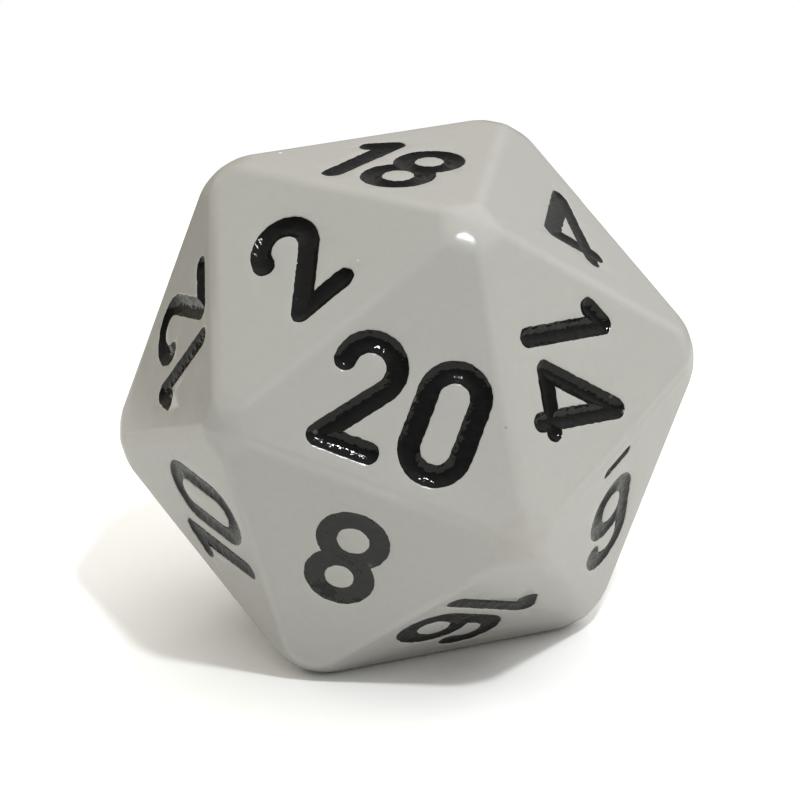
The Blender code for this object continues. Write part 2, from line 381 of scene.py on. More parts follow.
@dataclass(frozen=True)
class DigitForm:
    """The middle lines of the ten digits and of the line under a 6 or a 9.

    Attributes:
        height: A digit's full height.
        top: Height of the highest middle line over the lowest.
        half: Half the width between the outer middle lines.
        apart: How far two strokes that share an end start from each other.
        bar_reach: Half the length of the line under a 6 or a 9, between the middles of its ends.
        bar_thinner: How much thinner that line is on each side than a digit's stroke.
        flag_reach: How far the flag of a 1 reaches, as a share of the height.
        flag_drop: How far that flag falls, as a share of the height.
        loop_difference: How far the radii of the loops of 3 and 8 differ from a quarter of the top.
        four_reach: How far a 4 reaches to each side, as a share of the height.
        four_stem: How far right of the middle the stem of a 4 is, as a share of the height.
        four_bar: How high its crossbar is, as a share of the height.
        six_rise: How much taller than a circle the bowl of a 6 is, as a share of the height.
        three_waist: How far the waist of a 3 reaches to the left, as a share of the half width.
        seven_foot: Where the leg of a 7 ends, as a share of the half width.
        five_bowl: Radius of the bowl of a 5, as a share of the half width.
        five_flag: How far the flag of a 5 reaches, as a share of the half width.
    """

    height: float
    top: float
    half: float
    apart: float = 0.1 * MM
    bar_reach: float = 0.74 * MM
    bar_thinner: float = 0.2 * MM
    flag_reach: float = 0.15
    flag_drop: float = 0.135
    loop_difference: float = 0.007
    four_reach: float = 0.245
    four_stem: float = 0.155
    four_bar: float = 0.12
    six_rise: float = 0.043
    three_waist: float = 0.3
    seven_foot: float = -0.4
    five_bowl: float = 1.15
    five_flag: float = 0.85

    def strokes(self, glyph: str) -> list[Stroke]:
        """Draws a digit.

        Args:
            glyph: The digit, or "bar".

        Returns:
            Its strokes.
        """
        drawings = {
            "0": self.zero, "1": self.one, "2": self.two, "3": self.three, "4": self.four,
            "5": self.five, "6": self.six, "7": self.seven, "8": self.eight, "9": self.nine,
            "bar": self.bar,
        }  # fmt: skip
        return drawings[glyph]()

    def loops(self) -> tuple[float, float]:
        """Radii of the lower and of the upper loop of 3 and 8."""
        change = self.loop_difference * self.height
        return self.top / 4.0 + change, self.top / 4.0 - change

    def zero(self) -> list[Stroke]:
        """A straight-sided ring."""
        upper = arc((0.0, self.top - self.half), self.half, 0, 180)
        return [Stroke(upper + arc((0.0, self.half), self.half, 180, 360), closed=True)]

    def one(self) -> list[Stroke]:
        """A flag and a stem."""
        stem = self.flag_reach * self.height / 2.0
        flag = Vector((-stem, self.top - self.flag_drop * self.height))
        return [Stroke([flag, Vector((stem, self.top)), Vector((stem, 0.0))])]

    def two(self) -> list[Stroke]:
        """Draws a hook that runs straight down to the foot.

        Returns:
            One stroke.
        """
        rise = self.top - self.half
        lean = math.atan2(rise, self.half) - math.asin(self.half / math.hypot(self.half, rise))
        hook = arc((0.0, rise), self.half, 180, math.degrees(lean) - 90.0)
        return [Stroke(hook + [Vector((-self.half, 0.0)), Vector((self.half, 0.0))])]

    def three(self) -> list[Stroke]:
        """Draws two open loops that meet at the waist.

        Returns:
            The upper loop and the lower one.
        """
        lower, upper = self.loops()
        waist = Vector((-self.three_waist * self.half, 2.0 * lower))
        high = arc((0.0, self.top - upper), upper, 150, -90) + [waist]
        low = [waist + Vector((self.apart, 0.0))] + arc((0.0, lower), lower, 90, -150)
        return [Stroke(high), Stroke(low)]

    def four(self) -> list[Stroke]:
        """Draws a stem that turns down into a slope, and a crossbar from the slope's end.

        Returns:
            The stem with its slope, and the crossbar.
        """
        stem = self.four_stem * self.height
        reach = self.four_reach * self.height
        bar = self.four_bar * self.height
        slope = [Vector((stem, 0.0)), Vector((stem, self.top)), Vector((-reach, bar))]
        return [Stroke(slope), Stroke([Vector((self.apart - reach, bar)), Vector((reach, bar))])]

    def five(self) -> list[Stroke]:
        """Draws a stem with a flag to the right, and a bowl.

        Returns:
            The stem with its flag, and the bowl.
        """
        radius = self.five_bowl * self.half
        bowl = arc((self.half - radius, radius), radius, 135, -150)
        foot = bowl[0] - Vector((0.0, self.apart))
        flag = Vector((self.half * self.five_flag, self.top))
        return [Stroke([flag, Vector((foot.x, self.top)), foot]), Stroke(bowl)]

    def six(self) -> list[Stroke]:
        """Draws a hook that runs into a bowl.

        Returns:
            The hook and the bowl.
        """
        rise = self.half + self.six_rise * self.height
        hook = arc((0.0, self.top - self.half), self.half, 5, 180) + [Vector((-self.half, rise))]
        bowl = arc((0.0, rise), self.half, 0, 180) + arc((0.0, self.half), self.half, 180, 360)
        return [Stroke(hook), Stroke(bowl, closed=True)]

    def seven(self) -> list[Stroke]:
        """A bar and a slanting leg."""
        corner = Vector((self.half, self.top))
        foot = Vector((self.seven_foot * self.half, 0.0))
        return [Stroke([Vector((-self.half, self.top)), corner, foot])]

    def eight(self) -> list[Stroke]:
        """Draws two loops that share a waist.

        Returns:
            The lower loop and the upper one.
        """
        lower, upper = self.loops()
        low = arc((0.0, lower), lower, 0, 360)[:-1]
        high = arc((0.0, self.top - upper), upper, 0, 360)[:-1]
        return [Stroke(low, closed=True), Stroke(high, closed=True)]

    def nine(self) -> list[Stroke]:
        """A 6 turned by half a turn."""
        return [stroke.mirrored(self.top) for stroke in self.six()]

    def bar(self) -> list[Stroke]:
        """The short line under a 6 or a 9."""
        ends = [Vector((-self.bar_reach, 0.0)), Vector((self.bar_reach, 0.0))]
        return [Stroke(ends, thinner=self.bar_thinner)]


class Level(Enum):
    """How full of enamel a number's grooves are: its rim's depth, its sag and how dull it is, which also
    greys it as a painted reflection.
    """

    DISHED = (0.04 * MM, 0.20 * MM, 0.0)
    SHALLOW = (0.04 * MM, 0.11 * MM, 0.25)
    FLUSH = (0.03 * MM, 0.025 * MM, 1.0)

    @property
    def rim(self) -> float:
        """Depth of the enamel where it meets the groove's wall."""
        return self.value[0]

    @property
    def dip(self) -> float:
        """How far the enamel's middle lies below its rim."""
        return self.value[1]

    @property
    def dullness(self) -> float:
        """How far tumbling has taken the enamel's shine, from 0 to 1; the same share greys it as a painted
        reflection.
        """
        return self.value[2]


@dataclass(frozen=True)
class Filling:
    """How one number came out of the mould and took its enamel.

    Attributes:
        stroke: Width of its strokes.
        level: How full its grooves are.
    """

    stroke: float = STROKE
    level: Level = Level.DISHED


FILLINGS = {
    20: Filling(stroke=0.85 * MM),
    2: Filling(stroke=0.88 * MM),
    14: Filling(stroke=0.78 * MM),
    8: Filling(stroke=0.80 * MM, level=Level.FLUSH),
    4: Filling(stroke=0.78 * MM, level=Level.SHALLOW),
    16: Filling(level=Level.SHALLOW),
    10: Filling(level=Level.SHALLOW),
    6: Filling(level=Level.SHALLOW),
    17: Filling(level=Level.SHALLOW),
    13: Filling(level=Level.FLUSH),
}


@dataclass(frozen=True)
class DigitTools:
    """Makes the enamel of a digit and the cutters of its grooves, at the digit's own place.

    Attributes:
        form: The digits' middle lines.
        lip: Radius of the groove's rounded rim.
        overlap: How far the enamel reaches into the groove's wall, so that no gap shows.
        floor: Depth of the enamel's hidden underside.
        groove: Depth of the groove.
        above: How far a cutter stands above the face.
        ragged: How far the outlines wander.
        ragged_span: Over what length they wander.
        step: The longest stretch of a stroke without a point.
        cling: How many times steeper than its sag the enamel climbs inside the wall.
        sag: Where the points of the enamel's sag are, as shares of half a stroke.
        lip_angles: Where the points of the rounded rim are, in degrees.
        flare: How much wider than the groove a cutter starts, in radii of the rim.
        flare_rise: How high over the face its straight part ends, in radii of the rim.
    """

    form: DigitForm
    lip: float = 0.09 * MM
    overlap: float = 0.025 * MM
    floor: float = 0.42 * MM
    groove: float = 0.5 * MM
    above: float = 0.4 * MM
    ragged: float = 0.030 * MM
    ragged_span: float = 0.19 * MM
    step: float = 0.095 * MM
    cling: float = 3.0
    sag: tuple[float, ...] = (1.0, 0.88, 0.74, 0.58, 0.42, 0.27, 0.13)
    lip_angles: tuple[float, ...] = (12.0, 34.0, 56.0, 78.0)
    flare: float = 1.4
    flare_rise: float = 0.1

    def wander(self, point: Vector, seed: float) -> Vector:
        """Moves a point of an outline a little, as worn tooling and thick paint do.

        Args:
            point: The point on the true outline.
            seed: A number that makes each digit wander in its own way.

        Returns:
            The moved point.
        """
        # Two places far apart in the noise, so that x and y wander each on its own.
        place = Vector((point.x, point.y, 0.0)) / self.ragged_span + Vector((seed, 3.7 * seed, 1.9))
        other = place + Vector((31.4, 5.9, 2.6))
        return point + self.ragged * Vector((noise.noise(place), noise.noise(other)))

    def solid(self, name: str, stroke: Stroke, profile: Outline, seed: float) -> bpy.types.Object:
        """Makes a stroke as a closed solid.

        Args:
            name: The new object's name.
            stroke: The stroke.
            profile: Its half section, from the top down.
            seed: What makes its outline wander in its own way.

        Returns:
            The solid.
        """
        rows = stroke.rows(profile, self.step)
        heights = [level.y for level in profile]
        heights += heights[::-1] if stroke.closed else []
        count = len(rows[0])
        corners = []
        for row, height in zip(rows, heights):
            corners += [(*self.wander(point, seed), height) for point in row]
        last = len(rows) if stroke.closed else len(rows) - 1
        faces = []
        for row in range(last):
            here, there = row * count, (row + 1) % len(rows) * count
            for index in range(count):
                after = (index + 1) % count
                faces.append((here + index, here + after, there + after, there + index))
        if not stroke.closed:
            faces.append(tuple(range(count)))
            faces.append(tuple(range((len(rows) - 1) * count, len(rows) * count)))
        mesh = bpy.data.meshes.new(name)
        mesh.from_pydata(corners, [], faces)
        obj = bpy.data.objects.new(name, mesh)
        bpy.context.scene.collection.objects.link(obj)
        with edit_mode(obj):
            bpy.ops.mesh.select_all(action="SELECT")
            bpy.ops.mesh.normals_make_consistent(inside=False)
        return obj

    def enamel(self, name: str, glyph: str, filling: Filling, seed: float) -> bpy.types.Object:
        """Makes a digit's enamel: it clings to the groove's rim and sags in the middle.

        Args:
            name: The new object's name.
            glyph: The digit, or "bar".
            filling: How its number came out.
            seed: What makes its outline wander in its own way.

        Returns:
            The enamel, in the digit's own frame.
        """
        half = filling.stroke / 2.0
        rim, dip = filling.level.rim, filling.level.dip
        wall = half + self.overlap
        brim = 2.0 * dip / half * self.overlap
        block = [Vector((wall, 0.0)), Vector((wall, -self.floor))]
        hollow = [Vector((wall + self.lip, self.above)), Vector((wall + self.lip, -rim + brim * self.cling))]
        for share in self.sag:
            hollow.append(Vector((half * share, -rim - dip * (1.0 - share**2))))
        strokes = self.form.strokes(glyph)
        solids = [self.solid(f"{name}_{index}", line, block, seed) for index, line in enumerate(strokes)]
        whole = solids[0]
        for other in solids[1:]:
            apply_modifier(whole, "BOOLEAN", operation="UNION", solver="MANIFOLD", object=other)
        for line in strokes:
            scoop = self.solid(f"{name}_scoop", line, hollow, seed)
            apply_modifier(whole, "BOOLEAN", operation="DIFFERENCE", solver="MANIFOLD", object=scoop)
            solids.append(scoop)
        remove_all(solids[1:])
        whole.name = name
        return whole

    def cutters(self, name: str, glyph: str, filling: Filling, seed: float) -> list[bpy.types.Object]:
        """Makes the cutters of a digit's grooves, which leave the grooves' rims round.

        Args:
            name: The new objects' name.
            glyph: The digit, or "bar".
            filling: How its number came out.
            seed: What makes its outline wander in its own way.

        Returns:
            One cutter for each stroke, in the digit's own frame.
        """
        half = filling.stroke / 2.0
        outer = half + self.lip * self.flare
        profile = [Vector((outer, self.above)), Vector((outer, self.lip * self.flare_rise))]
        for angle in self.lip_angles:
            turn = math.radians(angle)
            across = half + self.lip * (1.0 - math.sin(turn))
            profile.append(Vector((across, -self.lip * (1.0 - math.cos(turn)))))
        profile.append(Vector((half, -self.lip)))
        profile.append(Vector((half, -self.groove)))
        strokes = self.form.strokes(glyph)
        return [self.solid(f"{name}_{index}", line, profile, seed) for index, line in enumerate(strokes)]


# Finishes.


class Net:
    """A node tree under construction, with short calls for its nodes and links."""

    def __init__(self, tree: bpy.types.NodeTree) -> None:
        """Starts on a tree.

        Args:
            tree: The node tree to build in.
        """
        self.tree = tree

    def node(
        self, kind: str, links: dict[str | int, object] | None = None, **settings: object
    ) -> bpy.types.Node:
        """Adds a node.

        Args:
            kind: Blender's name of the node type.
            links: For each input, a socket to link to it, or its value.
            **settings: The node's own properties.

        Returns:
            The node.
        """
        made = self.tree.nodes.new(kind)
        for name, value in settings.items():
            setattr(made, name, value)
        for name, value in (links or {}).items():
            if isinstance(value, bpy.types.NodeSocket):
                self.tree.links.new(value, made.inputs[name])
            else:
                made.inputs[name].default_value = value
        return made

    def math(self, operation: str, *values: object, clamp: bool = False) -> bpy.types.NodeSocket:
        """The result of a Math node on sockets or numbers."""
        links = dict(enumerate(values))
        return self.node("ShaderNodeMath", links, operation=operation, use_clamp=clamp).outputs[0]

    def remap(
        self, value: object, low: float, high: float, to_low: float, to_high: float
    ) -> bpy.types.NodeSocket:
        """A value taken smoothly from one range to another, and kept in it."""
        links = {"Value": value, "From Min": low, "From Max": high, "To Min": to_low, "To Max": to_high}
        return self.node("ShaderNodeMapRange", links, interpolation_type="SMOOTHSTEP").outputs[0]

    def noise(
        self, vector: object, scale: object, detail: float = 3.0, rough: float = 0.5
    ) -> bpy.types.NodeSocket:
        """The value of a Noise Texture node."""
        links = {"Vector": vector, "Scale": scale, "Detail": detail, "Roughness": rough}
        return self.node("ShaderNodeTexNoise", links).outputs["Fac"]

    def blend(self, factor: object, first: object, second: object) -> bpy.types.NodeSocket:
        """Two colours mixed by a factor."""
        mixer = self.node("ShaderNodeMix", data_type="RGBA", blend_type="MIX")
        for socket, value in ((0, factor), (6, first), (7, second)):
            if isinstance(value, bpy.types.NodeSocket):
                self.tree.links.new(value, mixer.inputs[socket])
            else:
                mixer.inputs[socket].default_value = value
        return mixer.outputs[2]


class Effect:
    """A node group that more than one finish uses.

    Attributes:
        title: The group's name.
        inputs: Each input's name, socket type and first value.
        outputs: Each output's name and socket type.
    """

    title = "effect"
    inputs: tuple[tuple[str, str, object], ...] = ()
    outputs: tuple[tuple[str, str], ...] = ()

    def build(self, net: Net, given: bpy.types.Node) -> dict[str, bpy.types.NodeSocket]:
        """Builds the inside of the group.

        Args:
            net: The group's tree.
            given: The group's input node.

        Returns:
            For each output's name, the socket that feeds it.
        """
        raise NotImplementedError

    def group(self) -> bpy.types.NodeTree:
        """Makes the group, once.

        Returns:
            The node group.
        """
        if self.title in bpy.data.node_groups:
            return bpy.data.node_groups[self.title]
        tree = bpy.data.node_groups.new(self.title, "ShaderNodeTree")
        for name, kind, value in self.inputs:
            socket = tree.interface.new_socket(name, in_out="INPUT", socket_type=kind)
            if value is not None:
                socket.default_value = value
        for name, kind in self.outputs:
            tree.interface.new_socket(name, in_out="OUTPUT", socket_type=kind)
        net = Net(tree)
        given = net.node("NodeGroupInput")
        result = net.node("NodeGroupOutput")
        for name, socket in self.build(net, given).items():
            tree.links.new(socket, result.inputs[name])
        return tree

    def place(self, net: Net, **values: object) -> bpy.types.Node:
        """Puts the group in a material.

        Args:
            net: The material's tree.
            **values: For each input, with _ for a space, a socket or a value.

        Returns:
            The group's node.
        """
        links = {name.replace("_", " "): value for name, value in values.items()}
        return net.node("ShaderNodeGroup", node_tree=self.group(), links=links)


class Mottle(Effect):
    """Slow and fast changes of tone in a moulded or painted surface."""

    title = "mottle"
    inputs = (
        ("Vector", "NodeSocketVector", None),
        ("Colour", "NodeSocketColor", (0.5, 0.5, 0.5, 1.0)),
        ("Slow", "NodeSocketFloat", 0.05),
        ("Fast", "NodeSocketFloat", 0.05),
    )
    outputs = (("Colour", "NodeSocketColor"),)
    slow_scale = 150.0
    fast_scale = 2600.0

    def build(self, net: Net, given: bpy.types.Node) -> dict[str, bpy.types.NodeSocket]:
        """Scales the colour by two sizes of noise.

        Args:
            net: The group's tree.
            given: The group's input node.

        Returns:
            For each output's name, the socket that feeds it.
        """
        slow = net.noise(given.outputs["Vector"], self.slow_scale, 2.0)
        fast = net.noise(given.outputs["Vector"], self.fast_scale, 6.0, 0.85)
        slow = net.math("MULTIPLY", net.math("SUBTRACT", slow, 0.5), given.outputs["Slow"])
        fast = net.math("MULTIPLY", net.math("SUBTRACT", fast, 0.5), given.outputs["Fast"])
        gain = net.math("ADD", 1.0, net.math("ADD", slow, fast))
        scaled = net.node("ShaderNodeVectorMath", {0: given.outputs["Colour"]}, operation="SCALE")
        net.tree.links.new(gain, scaled.inputs["Scale"])
        return {"Colour": scaled.outputs[0]}


class Specks(Effect):
    """Sparse round specks, such as dust, lint and pinholes."""

    title = "specks"
    inputs = (
        ("Vector", "NodeSocketVector", None),
        ("Cells", "NodeSocketFloat", 700.0),
        ("Share", "NodeSocketFloat", 0.1),
        ("Size", "NodeSocketFloat", 0.2),
    )
    outputs = (("Mask", "NodeSocketFloat"), ("Chance", "NodeSocketFloat"))
    smallest = 0.4
    sharpness = 14.0

    def build(self, net: Net, given: bpy.types.Node) -> dict[str, bpy.types.NodeSocket]:
        """Keeps the middles of some cells.

        Args:
            net: The group's tree.
            given: The group's input node.

        Returns:
            For each output's name, the socket that feeds it.
        """
        links = {"Vector": given.outputs["Vector"], "Scale": given.outputs["Cells"]}
        cells = net.node("ShaderNodeTexVoronoi", links)
        pick = net.node("ShaderNodeSeparateColor", {"Color": cells.outputs["Color"]})
        kept = net.math("LESS_THAN", pick.outputs[0], given.outputs["Share"])
        size = net.math("MULTIPLY", given.outputs["Size"], net.math("ADD", self.smallest, pick.outputs[1]))
        inside = net.math("SUBTRACT", size, cells.outputs["Distance"])
        soft = net.math("MULTIPLY", inside, self.sharpness, clamp=True)
        return {"Mask": net.math("MULTIPLY", kept, soft), "Chance": pick.outputs[2]}


class Ripple(Effect):
    """The unevenness of a moulded or painted surface, as a height in metres."""

    title = "ripple"
    inputs = (
        ("Vector", "NodeSocketVector", None),
        ("Broad Scale", "NodeSocketFloat", 500.0),
        ("Broad", "NodeSocketFloat", 0.5),
        ("Fine Scale", "NodeSocketFloat", 5000.0),
        ("Fine", "NodeSocketFloat", 0.1),
    )
    outputs = (("Height", "NodeSocketFloat"),)

    def build(self, net: Net, given: bpy.types.Node) -> dict[str, bpy.types.NodeSocket]:
        """Adds two sizes of noise.

        Args:
            net: The group's tree.
            given: The group's input node.

        Returns:
            For each output's name, the socket that feeds it.
        """
        broad = net.noise(given.outputs["Vector"], given.outputs["Broad Scale"], 2.0)
        fine = net.noise(given.outputs["Vector"], given.outputs["Fine Scale"], 3.0, 0.6)
        broad = net.math("MULTIPLY", broad, given.outputs["Broad"])
        fine = net.math("MULTIPLY", fine, given.outputs["Fine"])
        return {"Height": net.math("ADD", broad, fine)}


def new_material(name: str) -> tuple[bpy.types.Material, Net, bpy.types.Node, bpy.types.NodeSocket]:
    """Starts a material.

    Args:
        name: The material's name.

    Returns:
        The material, its tree, its shader and the place on the object.
    """
    material = bpy.data.materials.new(name)
    material.use_nodes = True
    net = Net(material.node_tree)
    shader = material.node_tree.nodes["Principled BSDF"]
    place = net.node("ShaderNodeTexCoord").outputs["Object"]
    return material, net, shader, place


@dataclass(frozen=True)
class WarmGreyPlastic:
    """Opaque tumbled plastic, a little paler and duller on its edges and groove rims: partly from wearing,
    partly as a painted highlight.

    Attributes:
        colour: Its own colour.
        worn: The paler colour of its edges and groove rims, partly from wearing and partly a painted
            highlight.
        grime: A browner, darker colour that some patches of the edges and groove rims take.
        roughness: Roughness of a clean flat face.
        clearer: How much less rough its clearest patches are.
        cloudier: How much rougher its cloudiest patches are.
        most_wear: The most that an edge takes of the paler colour of wearing and painted highlight.
        most_grime: The most that an edge takes of that browner colour.
        speck_cover: How much of the plastic's colour a speck hides.
        speck_depth: Depth of a speck's dent, in millimetres.
    """

    colour: tuple[float, float, float, float] = (0.374, 0.367, 0.346, 1.0)
    # Paler edges and rims: partly wearing, partly a painted highlight of the light that their rounds catch.
    worn: tuple[float, float, float, float] = (0.425, 0.420, 0.400, 1.0)
    # Browner, darker patches on the edges and groove rims.
    grime: tuple[float, float, float, float] = (0.31, 0.285, 0.24, 1.0)
    roughness: float = 0.17
    clearer: float = 0.04
    cloudier: float = 0.07
    most_wear: float = 0.5
    most_grime: float = 0.35
    speck_cover: float = 0.75
    speck_depth: float = 0.0012

    def material(self) -> bpy.types.Material:
        """Builds the finish.

        Returns:
            The material, which reads the attribute "rounding".
        """
        material, net, shader, place = new_material("warm_grey_plastic")
        rounding = net.node("ShaderNodeAttribute", attribute_name="rounding").outputs["Fac"]
        base = Mottle().place(net, Vector=place, Colour=self.colour, Slow=0.05, Fast=0.14).outputs["Colour"]
        # Edges and groove rims turn paler: partly wearing, partly a painted highlight.
        worn = net.remap(net.noise(place, 260.0, 3.0), 0.35, 0.6, 0.15, self.most_wear)
        paler_wear_and_highlight = net.math("MULTIPLY", rounding, worn)
        tone = net.blend(paler_wear_and_highlight, base, self.worn)
        # Some patches of the edges and rims turn browner and darker.
        brown_edge_patches = net.remap(net.noise(place, 110.0, 3.0), 0.52, 0.68, 0.0, self.most_grime)
        tone = net.blend(net.math("MULTIPLY", rounding, brown_edge_patches), tone, self.grime)
        dust = Specks().place(net, Vector=place, Cells=1000.0, Share=0.14, Size=0.075)
        shade = net.remap(dust.outputs["Chance"], 0.45, 0.55, 0.10, 0.95)
        dot = net.node("ShaderNodeCombineColor", {"Red": shade, "Green": shade, "Blue": shade}).outputs[0]
        tone = net.blend(net.math("MULTIPLY", dust.outputs["Mask"], self.speck_cover), tone, dot)
        net.tree.links.new(tone, shader.inputs["Base Color"])
        clouds = net.noise(place, 700.0, 3.0)
        cloudy = net.remap(clouds, 0.3, 0.7, self.roughness - self.clearer, self.roughness + self.cloudier)
        net.tree.links.new(cloudy, shader.inputs["Roughness"])
        ripple = Ripple().place(
            net, Vector=place, Broad_Scale=650.0, Broad=0.005, Fine_Scale=6500.0, Fine=0.0012
        ).outputs["Height"]
        dents = net.math("MULTIPLY", dust.outputs["Mask"], self.speck_depth)
        height = net.math("MULTIPLY", net.math("SUBTRACT", ripple, dents), MM)
        bump = net.node("ShaderNodeBump", {"Height": height, "Strength": 1.0, "Distance": 1.0})
        net.tree.links.new(bump.outputs["Normal"], shader.inputs["Normal"])
        return material


@dataclass(frozen=True)
class BlackEnamel:
    """Thick glossy black paint, lumpy where it dried and greyer where tumbling has taken its shine; that
    grey is partly a painted reflection.

    Attributes:
        colour: Its own colour.
        dulled: Its colour where it is dull: greyer, partly dull paint and partly a painted reflection.
        dust: The colour of the dust in it.
        roughness: Roughness where it is clean.
        shine: How strongly it mirrors.
        clearer: How much less rough its clearest patches are.
        cloudier: How much rougher its cloudiest patches are.
        dull_roughness: How much rougher dull paint and dust are.
        dust_cover: How much of the paint's colour dust hides.
        calmed: How much of its ripple dull paint has lost.
    """

    colour: tuple[float, float, float, float] = (0.006, 0.006, 0.006, 1.0)
    # Greyer colour of dull enamel, partly a painted reflection.
    dulled: tuple[float, float, float, float] = (0.024, 0.0255, 0.024, 1.0)
    dust: tuple[float, float, float, float] = (0.10, 0.092, 0.08, 1.0)
    roughness: float = 0.055
    shine: float = 0.32
    clearer: float = 0.025
    cloudier: float = 0.07
    dull_roughness: float = 0.25
    dust_cover: float = 0.6
    calmed: float = 0.75

    def material(self) -> bpy.types.Material:
        """Builds the finish.

        Returns:
            The material, which reads the point attribute of how dull the enamel is, which also greys it as a
            painted reflection.
        """
        material, net, shader, place = new_material("black_enamel")
        dullness = net.node("ShaderNodeAttribute", attribute_name="dullness").outputs["Fac"]
        patches = net.remap(net.noise(place, 900.0, 4.0, 0.6), 0.36, 0.42, 0.25, 1.0)
        dull = net.math("MULTIPLY", dullness, patches)
        # Dull enamel is greyer: partly dull paint, partly a painted reflection of the room that its low
        # shine leaves out.
        tint = net.blend(dull, self.colour, self.dulled)
        base = Mottle().place(net, Vector=place, Colour=tint, Slow=0.4, Fast=0.8).outputs["Colour"]
        dust = Specks().place(net, Vector=place, Cells=2600.0, Share=0.04, Size=0.22).outputs["Mask"]
        tone = net.blend(net.math("MULTIPLY", dust, self.dust_cover), base, self.dust)
        net.tree.links.new(tone, shader.inputs["Base Color"])
        clouds = net.noise(place, 1500.0, 3.0)
        cloudy = net.remap(clouds, 0.3, 0.7, self.roughness - self.clearer, self.roughness + self.cloudier)
        duller = net.math("MULTIPLY", net.math("ADD", dull, dust), self.dull_roughness)
        rough = net.math("ADD", cloudy, duller)
        net.tree.links.new(rough, shader.inputs["Roughness"])
        shader.inputs["Specular IOR Level"].default_value = self.shine
        ripple = Ripple().place(
            net, Vector=place, Broad_Scale=3400.0, Broad=0.036, Fine_Scale=9000.0, Fine=0.005
        ).outputs["Height"]
        calm = net.math("SUBTRACT", 1.0, net.math("MULTIPLY", dull, self.calmed))
        height = net.math("MULTIPLY", net.math("MULTIPLY", ripple, calm), MM)
        bump = net.node("ShaderNodeBump", {"Height": height, "Strength": 1.0, "Distance": 1.0})
        net.tree.links.new(bump.outputs["Normal"], shader.inputs["Normal"])
        return material


@dataclass(frozen=True)
class WhiteCard:
    """The matt white card that the die stands on.

    Attributes:
        colour: Its own colour.
        mirrored: Its colour where the die's gloss mirrors it.
        roughness: Its roughness.
        shine: How strongly it mirrors.
    """

    colour: tuple[float, float, float, float] = (0.94, 0.94, 0.935, 1.0)
    mirrored: tuple[float, float, float, float] = (0.55, 0.55, 0.54, 1.0)
    roughness: float = 0.85
    shine: float = 0.2

    def material(self) -> bpy.types.Material:
        """Builds the finish.

        Returns:
            The material.
        """
        material, net, shader, place = new_material("white_card")
        tone = Mottle().place(net, Vector=place, Colour=self.colour, Slow=0.01, Fast=0.01).outputs["Colour"]
        path = net.node("ShaderNodeLightPath")
        tone = net.blend(path.outputs["Is Glossy Ray"], tone, self.mirrored)
        net.tree.links.new(tone, shader.inputs["Base Color"])
        shader.inputs["Roughness"].default_value = self.roughness
        shader.inputs["Specular IOR Level"].default_value = self.shine
        return material


# The pieces.


